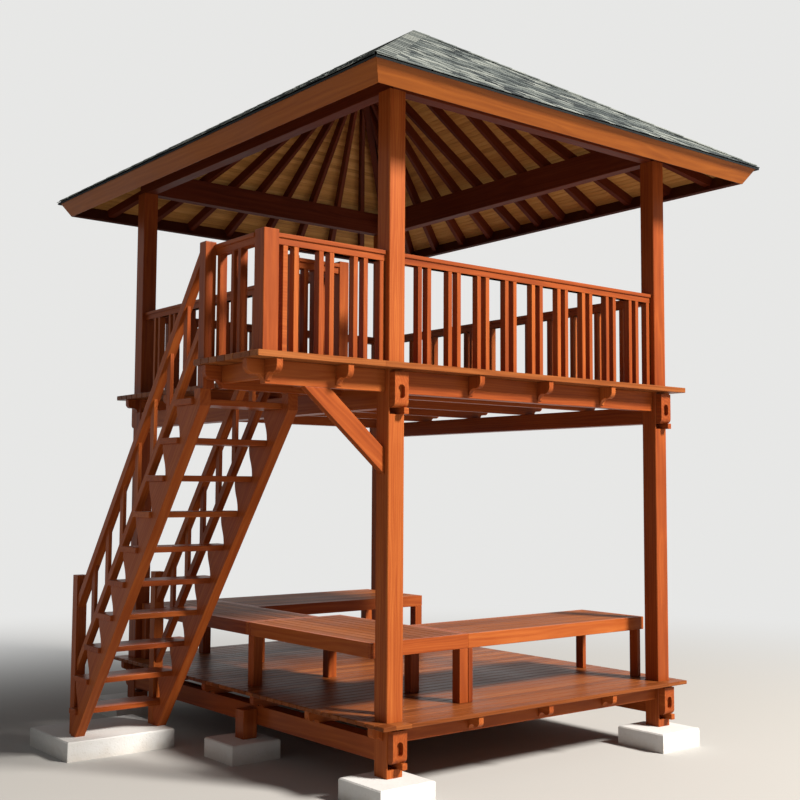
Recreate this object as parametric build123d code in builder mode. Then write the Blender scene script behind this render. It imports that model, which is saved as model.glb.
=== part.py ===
from build123d import *
import math
import os

os.makedirs("parts", exist_ok=True)

# Two-storey timber gazebo. All sizes are in millimetres. X runs along the front, Y from front to
# back, Z up. The origin is on the axis of the front left post, at the underside of its pad.

# Frame
frame_width = 3060
frame_depth = 4060
post_side = 150
post_chamfer = 5
stub_side = 135
stub_y = 1765
stub_lap = 130

# Concrete pads
pad_side = 500
pad_height = 160
pad_shift = 60
pad_chamfer = 10
stub_pad_side = 460
stub_pad_shift = 35
stair_pad_width = 970
stair_pad_depth = 810
stair_pad_back = 513
stair_pad_shift = 68

# Floors, each given by the level of its walking surface
lower_floor = 557
upper_floor = 3178
lower_deck_thickness = 32
upper_deck_thickness = 45
lower_overhang = 185
upper_overhang = 200
joist_width = 60
joist_bays = 5
joist_end_setback = 14
corbel_lip = 45
ogee_step = 10
rim_width = 90
lower_rim_depth = 125
upper_rim_depth = 173
bracket_width = 50
bracket_bays = 4
bracket_foot_gap = 20

# Side beams whose tenons pass through the posts and are keyed by wedges
beam_width = 130
lower_beam_bottom = 270
upper_beam_bottom = 2850
beam_depth = 155
tenon_reach = 62
tenon_top_gap = 20
tenon_round = 42
tenon_slot_height = 105
tenon_slot_width = 58
tenon_slot_depth = 35
wedge_height = 48
wedge_width = 46
wedge_taper = 12
wedge_reach = 66
fit_gap = 0.3

# Landing and stair on the left side
landing_reach = 1278
landing_edge = 690
landing_beam_width = 60
landing_beam_depth = 166
landing_post_x = -1100
landing_post_side = 125
landing_joist_x = -500
landing_rail_x = -1125
landing_joist_depth = 128
newel_side = 90
newel_chamfer = 4
brace_width = 60
brace_depth = 145
brace_angle = 40.4
brace_foot = 2450
stringer_width = 88
stringer_x = -1225
inner_stringer_x = -470
stringer_throat = 100
stringer_foot = 82
newel_inset = 25
tread_count = 10
tread_going = 211
tread_depth = 280
tread_thickness = 45
tread_overhang = 22
first_tread = 395
scroll_inset = 18
bottom_newel_height = 1340
handrail_width = 70
handrail_depth = 62
handrail_top_drop = 45
lower_rail_clear = 100
lower_rail_depth = 55
stair_baluster_width = 60
stair_baluster_thickness = 30
stair_baluster_count = 7

# Balustrades
rail_height = 848
rail_cap_width = 90
post_above_rail = 20
rail_cap_thickness = 30
rail_width = 66
rail_depth = 50
baluster_width = 40
baluster_depth = 60
pair_spacing = 92
pair_pitch = 306
single_offset = 36

# Daybeds on the lower floor
bench_height = 540
bench_top_thickness = 25
bench_apron_depth = 88
bench_apron_thickness = 40
bench_leg_side = 90
bench_thin_leg = 45
bench_leg_inset = 100
bench_joint = 5
bench_left_x = -20
bench_inner_x = 720
bench_corner_x = 960
bench_joint_leg_y = 800
bench_right_x = 3110
bench_near_y = 190
bench_middle_y = 1940
bench_far_y = 3960
front_bench_depth = 750
back_bench_depth = 980
back_bench_end_x = 2800

# Roof
plate_bottom = 5262
plate_width = 110
eave_out = 665
eave_below_plate = 72
roof_rise = 1415
ridge_inset = 1600
fascia_depth = 165
fascia_thickness = 30
ceiling_thickness = 20
rafter_depth = 95
rafter_width = 58
rafter_head_width = 24
rafter_tail = 60
end_rafter_count = 8
side_rafter_count = 11
hip_width = 70
hip_depth = 130
ridge_block_radius = 215
ridge_block_depth = 330
ridge_beam_width = 80
ridge_beam_depth = 210
cover_thickness = 30
cover_drip = 22
cap_width = 115
cap_thickness = 12
cutting_margin = 400

# Values worked out from the sizes above
deck_left = -upper_overhang
eave_level = plate_bottom - eave_below_plate
ridge_level = eave_level + roof_rise
half_post = post_side / 2
stub_out = beam_width / 2 + stub_side / 2
corner_points = [(0, 0), (frame_width, 0), (0, frame_depth), (frame_width, frame_depth)]
lower_deck_bottom = lower_floor - lower_deck_thickness
upper_deck_bottom = upper_floor - upper_deck_thickness
ridge_x = frame_width / 2
ridge_front = ridge_inset
ridge_back = frame_depth - ridge_inset
MIN = Align.MIN
MID = Align.CENTER


def save_piece(piece, label):
    """Labels a finished piece and writes it to its own file."""
    piece.part.label = label
    export_step(piece.part, f"parts/{label}.step")


def block(low, high, mode=Mode.ADD):
    """Adds a squared timber between two opposite corners."""
    size = [high[i] - low[i] for i in range(3)]
    with Locations(low):
        Box(*size, align=(MIN, MIN, MIN), mode=mode)


# Concrete pads, set out of line with the corner posts, and smaller ones under the stubs
stub_points = [(-stub_out, stub_y), (frame_width + stub_out, stub_y)]
with BuildPart() as post_pads:
    for x, y in corner_points:
        shift_y = pad_shift if y > 0 else -pad_shift
        with Locations((x - pad_shift, y + shift_y, 0)):
            Box(pad_side, pad_side, pad_height, align=(MID, MID, MIN))
    for x, y in stub_points:
        away = -1 if x < 0 else 1
        with Locations((x + away * stub_pad_shift, y, 0)):
            Box(stub_pad_side, stub_pad_side, pad_height, align=(MID, MID, MIN))
    chamfer(post_pads.edges().group_by(Axis.Z)[-1], pad_chamfer)
save_piece(post_pads, "post_pads")


# Posts, with a mortise through each at both floors
def floor_tenon(level_bottom, deck_bottom):
    """Bottom and top of the tenon that passes through a post at one floor."""
    return level_bottom, deck_bottom - tenon_top_gap


lower_tenon = floor_tenon(lower_beam_bottom, lower_deck_bottom)
upper_tenon = floor_tenon(upper_beam_bottom, upper_deck_bottom)


with BuildPart() as corner_posts:
    for x, y in corner_points:
        with Locations((x, y, pad_height)):
            Box(post_side, post_side, plate_bottom - pad_height, align=(MID, MID, MIN))
    chamfer(corner_posts.edges().filter_by(Axis.Z), post_chamfer)
    for x, y in corner_points:
        for bottom, top in (lower_tenon, upper_tenon):
            with Locations((x, y, bottom - wedge_height)):
                Box(beam_width + 2 * fit_gap, post_side, top - bottom + wedge_height,
                    align=(MID, MID, MIN), mode=Mode.SUBTRACT)
save_piece(corner_posts, "corner_posts")

# Stubs against the outer faces of the lower side beams
with BuildPart() as middle_stub_posts:
    for x, y in stub_points:
        with Locations((x, y, pad_height)):
            Box(stub_side, stub_side, lower_beam_bottom + stub_lap - pad_height, align=(MID, MID, MIN))
    chamfer(middle_stub_posts.edges().filter_by(Axis.Z), post_chamfer)
save_piece(middle_stub_posts, "middle_stub_posts")


# Side beams, raised at the ends into tenons with rounded lower corners and an oval recess
def side_beams(tenon):
    """The left and right beams of one floor."""
    bottom, top = tenon
    near = -half_post - tenon_reach
    far = frame_depth + half_post + tenon_reach
    shoulder = bottom + beam_depth
    with BuildPart() as beams:
        for x in (0, frame_width):
            with BuildSketch(Plane.YZ.offset(x - beam_width / 2)) as outline:
                with BuildLine():
                    Polyline((near, bottom), (far, bottom), (far, top), (frame_depth - half_post, top),
                             (frame_depth - half_post, shoulder), (half_post, shoulder),
                             (half_post, top), (near, top), close=True)
                make_face()
                fillet(outline.vertices().group_by(Axis.Y)[0].group_by(Axis.X)[0], tenon_round)
                fillet(outline.vertices().group_by(Axis.Y)[0].group_by(Axis.X)[-1], tenon_round)
            extrude(amount=beam_width)
            slot_level = (bottom + top) / 2 - tenon_round / 3
            with BuildSketch(Plane((x, near, slot_level), x_dir=(1, 0, 0), z_dir=(0, -1, 0))):
                SlotOverall(tenon_slot_height, tenon_slot_width, rotation=90)
            extrude(amount=-tenon_slot_depth, mode=Mode.SUBTRACT)
            with BuildSketch(Plane((x, far, slot_level), x_dir=(1, 0, 0), z_dir=(0, 1, 0))):
                SlotOverall(tenon_slot_height, tenon_slot_width, rotation=90)
            extrude(amount=-tenon_slot_depth, mode=Mode.SUBTRACT)
    return beams


save_piece(side_beams(lower_tenon), "lower_side_beams")
save_piece(side_beams(upper_tenon), "upper_side_beams")

# Wedges driven below the tenons, along one cheek of each mortise
with BuildPart() as tenon_wedges:
    for bottom, top in (lower_tenon, upper_tenon):
        for x, y in corner_points:
            away = -1 if y == 0 else 1
            tip = y - away * half_post
            head = y + away * (half_post + wedge_reach)
            side = x + beam_width / 2
            with BuildSketch(Plane.XY.offset(bottom - wedge_height)):
                with BuildLine():
                    Polyline((side, tip), (side, head), (side - wedge_width, head),
                             (side - wedge_width + wedge_taper, tip), close=True)
                make_face()
            extrude(amount=wedge_height)
save_piece(tenon_wedges, "tenon_wedges")


# Cross beams along the front and the back, between the posts
def rim_beams(deck_bottom, depth):
    """The front and back rim beams of one floor."""
    with BuildPart() as rims:
        for y in (0, frame_depth):
            block((half_post, y - rim_width / 2, deck_bottom - depth),
                  (frame_width - half_post, y + rim_width / 2, deck_bottom))
    return rims


save_piece(rim_beams(lower_deck_bottom, lower_rim_depth), "lower_rim_beams")
save_piece(rim_beams(upper_deck_bottom, upper_rim_depth), "upper_rim_beams")


# Joists across the side beams, with ogee ends that carry the overhang of the deck
def ogee(tip, lip_level, root, root_level):
    """S-shaped curve of two arcs, from a lip in to a root, leaving and ending upright."""
    middle = ((tip + root) / 2, (lip_level + root_level) / 2)
    TangentArc((tip, lip_level), middle, tangent=(0, -1))
    TangentArc((root, root_level), middle, tangent=(0, 1))


def floor_joists(deck_bottom, beam_bottom, overhang):
    """The joists of one floor, lying on its side beams."""
    bottom = beam_bottom + beam_depth
    tip = -overhang + joist_end_setback
    root = -beam_width / 2 - ogee_step
    with BuildPart() as joists:
        for bay in range(1, joist_bays):
            y = frame_depth * bay / joist_bays
            with BuildSketch(Plane.XZ.offset(-y - joist_width / 2)):
                with BuildLine():
                    Line((frame_width - tip, deck_bottom), (tip, deck_bottom))
                    Line((tip, deck_bottom), (tip, deck_bottom - corbel_lip))
                    ogee(tip, deck_bottom - corbel_lip, root, bottom)
                    Line((root, bottom), (frame_width - root, bottom))
                    ogee(frame_width - tip, deck_bottom - corbel_lip, frame_width - root, bottom)
                    Line((frame_width - tip, deck_bottom - corbel_lip), (frame_width - tip, deck_bottom))
                make_face()
            extrude(amount=joist_width)
    return joists


save_piece(floor_joists(lower_deck_bottom, lower_beam_bottom, lower_overhang), "lower_joists")
save_piece(floor_joists(upper_deck_bottom, upper_beam_bottom, upper_overhang), "upper_joists")


# Moulded brackets below the overhang of the decks, on the rim beams and on the posts' outer faces
def bracket(place, outward, width, drop, reach, deck_bottom):
    """One bracket under a deck, standing out from a place in plan by its reach."""
    ox, oy = outward
    plane = Plane(origin=(*place, deck_bottom), x_dir=(ox, oy, 0), z_dir=(oy, -ox, 0))
    with BuildSketch(plane) as outline:
        with BuildLine():
            Polyline((reach, -corbel_lip), (reach, 0), (0, 0), (0, -drop), (ogee_step, -drop))
            ogee(reach, -corbel_lip, ogee_step, -drop)
        make_face()
    extrude(outline.sketch, amount=width / 2, both=True)


def rim_brackets(deck_bottom, depth, overhang):
    """Adds the brackets of one floor, on the front and back rim beams."""
    reach = overhang - joist_end_setback - rim_width / 2
    for bay in range(1, bracket_bays):
        x = frame_width * bay / bracket_bays
        for y, away in ((-rim_width / 2, -1), (frame_depth + rim_width / 2, 1)):
            bracket((x, y), (0, away), bracket_width, depth - bracket_foot_gap, reach, deck_bottom)


def post_brackets(corners, deck_bottom, beam_bottom, overhang):
    """Adds brackets in line with the joists on the outer faces of the posts at some corners."""
    reach = overhang - joist_end_setback - half_post
    for x, y in corners:
        away = -1 if x == 0 else 1
        bracket((x + away * half_post, y), (away, 0), joist_width,
                deck_bottom - beam_bottom - beam_depth, reach, deck_bottom)


with BuildPart() as lower_brackets:
    rim_brackets(lower_deck_bottom, lower_rim_depth, lower_overhang)
    post_brackets(corner_points, lower_deck_bottom, lower_beam_bottom, lower_overhang)
save_piece(lower_brackets, "lower_brackets")

with BuildPart() as upper_brackets:
    rim_brackets(upper_deck_bottom, upper_rim_depth, upper_overhang)
    post_brackets(corner_points[1:], upper_deck_bottom, upper_beam_bottom, upper_overhang)
    for x in (landing_post_x, landing_joist_x):
        bracket((x, -landing_beam_width / 2), (0, -1), bracket_width, landing_beam_depth - bracket_foot_gap,
                upper_overhang - joist_end_setback - landing_beam_width / 2, upper_deck_bottom)
save_piece(upper_brackets, "upper_brackets")


# Decks, let in round the posts
def deck(low_level, high_level, overhang):
    """The deck of one floor."""
    with BuildPart() as boards:
        block((-overhang, -overhang, low_level),
              (frame_width + overhang, frame_depth + overhang, high_level))
        for x, y in corner_points:
            with Locations((x, y, low_level)):
                Box(post_side, post_side, high_level - low_level, align=(MID, MID, MIN),
                    mode=Mode.SUBTRACT)
    return boards


save_piece(deck(lower_deck_bottom, lower_floor, lower_overhang), "lower_deck")
save_piece(deck(upper_deck_bottom, upper_floor, upper_overhang), "upper_deck")

# Landing beside the upper floor: two beams, joists between them, a deck and a brace
landing_beam_bottom = upper_deck_bottom - landing_beam_depth
back_beam_y = landing_edge - newel_side - landing_beam_width / 2
landing_tip = -landing_reach + joist_end_setback
landing_root = landing_post_x - 2 * ogee_step
with BuildPart() as landing_beams:
    for beam_y, beam_end in ((0, -half_post), (back_beam_y, -beam_width / 2)):
        with BuildSketch(Plane.XZ.offset(-beam_y - landing_beam_width / 2)):
            with BuildLine():
                Line((beam_end, upper_deck_bottom), (landing_tip, upper_deck_bottom))
                Line((landing_tip, upper_deck_bottom), (landing_tip, upper_deck_bottom - corbel_lip))
                ogee(landing_tip, upper_deck_bottom - corbel_lip, landing_root, landing_beam_bottom)
                Line((landing_root, landing_beam_bottom), (beam_end, landing_beam_bottom))
                Line((beam_end, landing_beam_bottom), (beam_end, upper_deck_bottom))
            make_face()
        extrude(amount=landing_beam_width)
save_piece(landing_beams, "landing_beams")

with BuildPart() as landing_joists:
    for x in (landing_post_x, landing_joist_x):
        block((x - joist_width / 2, landing_beam_width / 2, upper_deck_bottom - landing_joist_depth),
              (x + joist_width / 2, back_beam_y - landing_beam_width / 2, upper_deck_bottom))
save_piece(landing_joists, "landing_joists")


newel_y = landing_edge - newel_side / 2
outer_newel_x = stringer_x + newel_inset
newel_points = [(outer_newel_x, newel_y), (inner_stringer_x, newel_y)]
with BuildPart() as landing_deck:
    block((-landing_reach, -upper_overhang, upper_deck_bottom), (deck_left, landing_edge, upper_floor))
    for x, y in newel_points:
        with Locations((x, y, upper_deck_bottom)):
            Box(newel_side, newel_side, upper_deck_thickness, align=(MID, MID, MIN), mode=Mode.SUBTRACT)
save_piece(landing_deck, "landing_deck")

brace_rise = landing_beam_bottom - brace_foot
brace_run = brace_rise / math.tan(math.radians(brace_angle))
brace_plumb = brace_depth / math.cos(math.radians(brace_angle))
brace_level = brace_depth / math.sin(math.radians(brace_angle))
with BuildPart() as landing_brace:
    with BuildSketch(Plane.XZ.offset(-brace_width / 2)):
        with BuildLine():
            Polyline((-half_post, brace_foot + brace_plumb / 2), (-half_post, brace_foot - brace_plumb / 2),
                     (-half_post - brace_run - brace_level / 2, landing_beam_bottom),
                     (-half_post - brace_run + brace_level / 2, landing_beam_bottom), close=True)
        make_face()
    extrude(amount=brace_width)
save_piece(landing_brace, "landing_brace")

# Stair from its pad up to the far edge of the landing
tread_rise = (upper_floor - first_tread) / tread_count
slope = tread_rise / tread_going
slope_angle = math.atan(slope)


def tread_back(index):
    """Y of the back edge of one tread, counted from the bottom."""
    return landing_edge + (tread_count - 1 - index) * tread_going


def seat(index):
    """Level of the step in the stringers on which one tread lies."""
    return first_tread + index * tread_rise - tread_thickness


def under_line(y):
    """Level of the stringers' straight lower edge, a throat in front of the steps' inner corners."""
    return seat(tread_count - 1) - (y + stringer_throat - landing_edge) * slope


head_y = landing_edge - newel_side
foot_start = head_y + (under_line(head_y) - pad_height) / slope
foot_end = foot_start + stringer_foot
bottom_newel_y = foot_end + newel_side / 2
stair_pad_x = (stringer_x + inner_stringer_x) / 2 - stair_pad_shift
with BuildPart() as stair_pad:
    with Locations((stair_pad_x, bottom_newel_y + stair_pad_back - stair_pad_depth / 2, 0)):
        Box(stair_pad_width, stair_pad_depth, pad_height, align=(MID, MID, MIN))
    chamfer(stair_pad.faces().filter_by(Axis.Z).group_by(Axis.Z)[-1].edges(), pad_chamfer)
save_piece(stair_pad, "stair_pad")

# Cut stringers with a scroll below each nosing, from the pad to under the landing newels
with BuildPart() as stair_stringers:
    for x in (stringer_x, inner_stringer_x):
        with BuildSketch(Plane.YZ.offset(x - stringer_width / 2)):
            with BuildLine():
                Polyline((tread_back(0), seat(0)), (foot_end, seat(0)), (foot_end, pad_height),
                         (foot_start, pad_height), (head_y, under_line(head_y)),
                         (head_y, landing_beam_bottom), (landing_edge, landing_beam_bottom),
                         (landing_edge, seat(tread_count - 1)))
                for index in range(tread_count - 1):
                    heel = tread_back(index)
                    heel_level = seat(index) + tread_thickness
                    above = tread_back(index + 1)
                    scroll = above + tread_depth - scroll_inset
                    Line((heel, seat(index)), (heel, heel_level))
                    ogee(scroll, seat(index + 1), heel, heel_level)
                    Line((scroll, seat(index + 1)), (above, seat(index + 1)))
            make_face()
        extrude(amount=stringer_width)
save_piece(stair_stringers, "stair_stringers")

# Treads on the steps, the lowest one notched to pass between the newels
tread_left = stringer_x - stringer_width / 2 - tread_overhang
tread_right = inner_stringer_x + stringer_width / 2 + tread_overhang
with BuildPart() as stair_treads:
    for index in range(tread_count):
        back, bottom = tread_back(index), seat(index)
        block((tread_left, back, bottom), (tread_right, back + tread_depth, bottom + tread_thickness))
    nose = tread_back(0) + tread_depth
    inside_left = outer_newel_x + newel_side / 2
    inside_right = inner_stringer_x - newel_side / 2
    block((tread_left, foot_end, seat(0)), (inside_left, nose, first_tread), Mode.SUBTRACT)
    block((inside_right, foot_end, seat(0)), (tread_right, nose, first_tread), Mode.SUBTRACT)
save_piece(stair_treads, "stair_treads")

newel_top = upper_floor + rail_height + post_above_rail
with BuildPart() as stair_newels:
    for x, y in newel_points:
        with Locations((x, bottom_newel_y, pad_height)):
            Box(newel_side, newel_side, bottom_newel_height, align=(MID, MID, MIN))
        with Locations((x, y, landing_beam_bottom)):
            Box(newel_side, newel_side, newel_top - landing_beam_bottom, align=(MID, MID, MIN))
    chamfer(stair_newels.faces().group_by(Axis.Z)[-1].edges(), newel_chamfer)
save_piece(stair_newels, "stair_newels")

with BuildPart() as landing_posts:
    with Locations((landing_post_x, 0, upper_floor)):
        Box(landing_post_side, landing_post_side, newel_top - upper_floor, align=(MID, MID, MIN))
    with Locations((0, newel_y, upper_floor)):
        Box(newel_side, newel_side, newel_top - upper_floor, align=(MID, MID, MIN))
save_piece(landing_posts, "landing_posts")


# Sloping handrails with flat balusters between two rails
def stair_rail(x):
    """Adds the handrail over one stringer, between its two newels."""
    low_y = landing_edge
    high_y = foot_end
    top_line = newel_top - handrail_top_drop
    handrail_plumb = handrail_depth / math.cos(slope_angle)
    lower_plumb = lower_rail_depth / math.cos(slope_angle)
    nosing_level = upper_floor - tread_rise + tread_depth * slope
    lower_top = nosing_level + lower_rail_clear + lower_plumb
    drop = (high_y - low_y) * slope
    with BuildSketch(Plane.YZ.offset(x - handrail_width / 2)) as handrail:
        with BuildLine():
            Polyline((low_y, top_line), (high_y, top_line - drop),
                     (high_y, top_line - drop - handrail_plumb), (low_y, top_line - handrail_plumb),
                     close=True)
        make_face()
    extrude(handrail.sketch, amount=handrail_width)
    with BuildSketch(Plane.YZ.offset(x - stair_baluster_thickness)) as lower_rail:
        with BuildLine():
            Polyline((low_y, lower_top), (high_y, lower_top - drop),
                     (high_y, lower_top - drop - lower_plumb), (low_y, lower_top - lower_plumb),
                     close=True)
        make_face()
    extrude(lower_rail.sketch, amount=2 * stair_baluster_thickness)
    for number in range(stair_baluster_count):
        y = low_y + (high_y - low_y) * (number + 1) / (stair_baluster_count + 1)
        near, far = y - stair_baluster_width / 2, y + stair_baluster_width / 2
        shift_near, shift_far = (near - low_y) * slope, (far - low_y) * slope
        with BuildSketch(Plane.YZ.offset(x - stair_baluster_thickness / 2)) as flat:
            with BuildLine():
                Polyline((near, lower_top - shift_near - lower_plumb / 2),
                         (far, lower_top - shift_far - lower_plumb / 2),
                         (far, top_line - shift_far - handrail_plumb / 2),
                         (near, top_line - shift_near - handrail_plumb / 2), close=True)
            make_face()
        extrude(flat.sketch, amount=stair_baluster_thickness)


with BuildPart() as stair_rails:
    for x in (outer_newel_x, inner_stringer_x):
        stair_rail(x)
save_piece(stair_rails, "stair_rails")


# Balustrades of paired balusters below a two-part top rail
def balustrade(start, end, fixed, along_x, pair_places, single_places):
    """One run of balustrade from start to end along X or Y, at a fixed place on the other axis."""
    def turn(along, across, level):
        return (along, fixed + across, level) if along_x else (fixed + across, along, level)

    top = upper_floor + rail_height
    sub_top = top - rail_cap_thickness
    sub_bottom = sub_top - rail_depth
    places = [p + side * pair_spacing / 2 for p in pair_places for side in (-1, 1)] + single_places
    with BuildPart() as run:
        block(turn(start, -rail_cap_width / 2, sub_top), turn(end, rail_cap_width / 2, top))
        block(turn(start, -rail_width / 2, sub_bottom), turn(end, rail_width / 2, sub_top))
        for place in places:
            block(turn(place - baluster_width / 2, -baluster_depth / 2, upper_floor),
                  turn(place + baluster_width / 2, baluster_depth / 2, sub_bottom))
    return run


def pairs_between(start, end, origin, pitch):
    """Places of the pairs that fit between two posts, on a pitch counted from an origin."""
    steps = range(math.ceil((start - origin) / pitch), math.floor((end - origin) / pitch) + 1)
    room = pair_spacing / 2 + baluster_width
    return [origin + step * pitch for step in steps
            if origin + step * pitch - room > start and origin + step * pitch + room < end]


def railing(start, end, fixed, along_x, origin, pitch, singles):
    """A balustrade whose pairs keep to the pitch, with single balusters beside the named ends."""
    return balustrade(start, end, fixed, along_x, pairs_between(start, end, origin, pitch), singles)


right_end = frame_width - half_post
back_end = frame_depth - half_post
side_pitch = frame_depth / round(frame_depth / pair_pitch)
save_piece(railing(half_post, right_end, 0, True, 0, pair_pitch, [right_end - single_offset]), "rail_front")
save_piece(railing(half_post, right_end, frame_depth, True, 0, pair_pitch, [right_end - single_offset]),
           "rail_back")
save_piece(railing(half_post, back_end, frame_width, False, 0, side_pitch, []), "rail_right")
save_piece(railing(landing_edge, back_end, 0, False, 0, side_pitch, []), "rail_left")
with BuildPart() as rail_landing:
    add(railing(landing_post_x + landing_post_side / 2, -half_post, 0, True, 0, pair_pitch,
                [-half_post - single_offset]).part)
    add(railing(landing_post_side / 2, head_y, landing_rail_x, False, newel_y / 2, side_pitch,
                [head_y - single_offset]).part)
    add(railing(inner_stringer_x + newel_side / 2, -newel_side / 2, newel_y, True, 0, pair_pitch,
                []).part)
save_piece(rail_landing, "rail_landing")

# Daybeds round three sides of the lower floor, in units with a fine joint between them, each
# given by its low and high corners in plan. Units that meet share the legs beside the joint.
front_bench_y = bench_near_y + front_bench_depth
back_bench_y = bench_far_y - back_bench_depth
left_bench_end = (bench_corner_x - bench_joint, bench_middle_y - bench_joint)
benches = [
    ((bench_left_x, bench_near_y), left_bench_end),
    ((bench_left_x, bench_middle_y), (bench_inner_x - bench_joint, bench_far_y)),
    ((bench_corner_x, bench_near_y), (bench_right_x, front_bench_y)),
    ((bench_inner_x, back_bench_y), (back_bench_end_x, bench_far_y)),
]
bench_top = lower_floor + bench_height
apron_top = bench_top - bench_top_thickness
apron_bottom = apron_top - bench_apron_depth
with BuildPart() as bench_tops:
    for low, high in benches:
        block((*low, apron_top), (*high, bench_top))
save_piece(bench_tops, "bench_tops")

with BuildPart() as bench_aprons_across:
    for (low_x, low_y), (high_x, high_y) in benches:
        for y in (low_y, high_y - bench_apron_thickness):
            block((low_x, y, apron_bottom), (high_x, y + bench_apron_thickness, apron_top))
save_piece(bench_aprons_across, "bench_aprons_across")

with BuildPart() as bench_aprons_along:
    for (low_x, low_y), (high_x, high_y) in benches:
        for x in (low_x, high_x - bench_apron_thickness):
            block((x, low_y + bench_apron_thickness, apron_bottom),
                  (x + bench_apron_thickness, high_y - bench_apron_thickness, apron_top))
save_piece(bench_aprons_along, "bench_aprons_along")

left_leg_y = left_bench_end[1] - bench_leg_side
far_leg_y = bench_far_y - bench_leg_side
square_legs = [
    (bench_left_x + bench_leg_inset, bench_near_y),
    (left_bench_end[0] - bench_leg_side, bench_near_y),
    (left_bench_end[0] - bench_leg_side, bench_joint_leg_y),
    (bench_left_x, left_leg_y),
    (left_bench_end[0] - bench_leg_inset - bench_leg_side, left_leg_y),
    (bench_left_x, far_leg_y),
    (bench_inner_x - bench_joint - bench_leg_side, far_leg_y),
    (bench_inner_x, back_bench_y),
    (back_bench_end_x - bench_leg_side, back_bench_y),
    (back_bench_end_x - bench_leg_side, far_leg_y),
]
thin_leg_x = bench_right_x - 2 * bench_thin_leg
thin_legs = [
    (bench_corner_x, bench_near_y),
    (thin_leg_x, bench_near_y),
    (thin_leg_x, front_bench_y - bench_leg_side),
]
with BuildPart() as bench_legs:
    for places, leg_width in ((square_legs, bench_leg_side), (thin_legs, bench_thin_leg)):
        for x, y in places:
            block((x, y, lower_floor), (x + leg_width, y + bench_leg_side, apron_bottom))
save_piece(bench_legs, "bench_legs")


# Hipped roof with a short ridge. Each slope has a plane at the top of its ceiling boards, with X
# along the eave, Y up the slope and Z out of it, and the upright planes that bound it.
class Slope:
    def __init__(self, middle, inward, run, corners):
        self.rise = ridge_level - eave_level
        self.pitch = math.atan2(self.rise, run)
        self.length = math.hypot(self.rise, run)
        up = (inward[0] * math.cos(self.pitch), inward[1] * math.cos(self.pitch), math.sin(self.pitch))
        out = (-inward[0] * math.sin(self.pitch), -inward[1] * math.sin(self.pitch), math.cos(self.pitch))
        self.up = up
        self.plane = Plane(origin=(middle[0], middle[1], eave_level), x_dir=(inward[1], -inward[0], 0),
                           z_dir=out)
        self.width = math.dist(corners[0], corners[-1])
        self.corners = corners
        self.middle = middle
        self.inward = inward

    def bounds(self, inset=0.0):
        """Upright planes through the hips and the ridge, moved in by an inset and facing in."""
        planes = []
        for start, end in zip(self.corners[:-1], self.corners[1:]):
            along = Vector(end[0] - start[0], end[1] - start[1], 0).normalized()
            inside = Vector(-along.Y, along.X, 0)
            to_middle = Vector(self.middle[0] - start[0], self.middle[1] - start[1], 0)
            if inside.dot(to_middle) < 0:
                inside = inside * -1
            origin = Vector(start[0], start[1], 0) + inside * inset
            planes.append(Plane(origin=origin, x_dir=along, z_dir=inside))
        return planes

    def foot_plane(self, setback):
        """Plane square to the slope, a setback up from the eave and facing up the slope."""
        up = Vector(*self.up)
        origin = Vector(self.middle[0], self.middle[1], eave_level) + up * setback
        return Plane(origin=origin, x_dir=self.plane.x_dir, z_dir=up)

    def place(self, x, y):
        """Coordinates in the slope's plane of the point of the roof above a point in plan."""
        inward = Vector(*self.inward, 0)
        offset = Vector(x - self.middle[0], y - self.middle[1], 0)
        across = offset.dot(self.plane.x_dir)
        return across, offset.dot(inward) / math.cos(self.pitch)


far_x = frame_width + eave_out
far_y = frame_depth + eave_out
eave_corners = [(-eave_out, -eave_out), (far_x, -eave_out), (far_x, far_y), (-eave_out, far_y)]
ridge_ends = [(ridge_x, ridge_front), (ridge_x, ridge_back)]
side_run = ridge_x + eave_out
end_run = ridge_front + eave_out
slopes = {
    "front": Slope((ridge_x, -eave_out), (0, 1), end_run,
                   [eave_corners[0], ridge_ends[0], eave_corners[1]]),
    "back": Slope((ridge_x, far_y), (0, -1), end_run,
                  [eave_corners[2], ridge_ends[1], eave_corners[3]]),
    "left": Slope((-eave_out, frame_depth / 2), (1, 0), side_run,
                  [eave_corners[3], ridge_ends[1], ridge_ends[0], eave_corners[0]]),
    "right": Slope((far_x, frame_depth / 2), (-1, 0), side_run,
                   [eave_corners[1], ridge_ends[0], ridge_ends[1], eave_corners[2]]),
}


def slope_layer(roof_slope, low, high, start, end, inset=0.0):
    """A layer of one slope between two heights above its plane, mitred at the hips."""
    with BuildPart() as layer:
        with BuildSketch(roof_slope.plane.offset(low)):
            with Locations((0, start)):
                Rectangle(roof_slope.width + cutting_margin, end - start, align=(MID, MIN))
        extrude(amount=high - low)
        for plane in roof_slope.bounds(inset):
            split(bisect_by=plane, keep=Keep.TOP)
    return layer


def ridge_core(gap, mode):
    """Turned blocks under both ends of the ridge, with the ridge beam between them."""
    top = ridge_level + cutting_margin
    for x, y in ridge_ends:
        with Locations((x, y, ridge_level - ridge_block_depth)):
            Cylinder(ridge_block_radius + gap, top - ridge_level + ridge_block_depth,
                     align=(MID, MID, MIN), mode=mode)
    block((ridge_x - ridge_beam_width / 2, ridge_front, ridge_level - ridge_beam_depth),
          (ridge_x + ridge_beam_width / 2, ridge_back, top), mode)


with BuildPart() as ridge_block:
    ridge_core(0, Mode.ADD)
    for roof_slope in slopes.values():
        split(bisect_by=roof_slope.plane.offset(-ceiling_thickness), keep=Keep.BOTTOM)
save_piece(ridge_block, "ridge_block")

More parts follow.
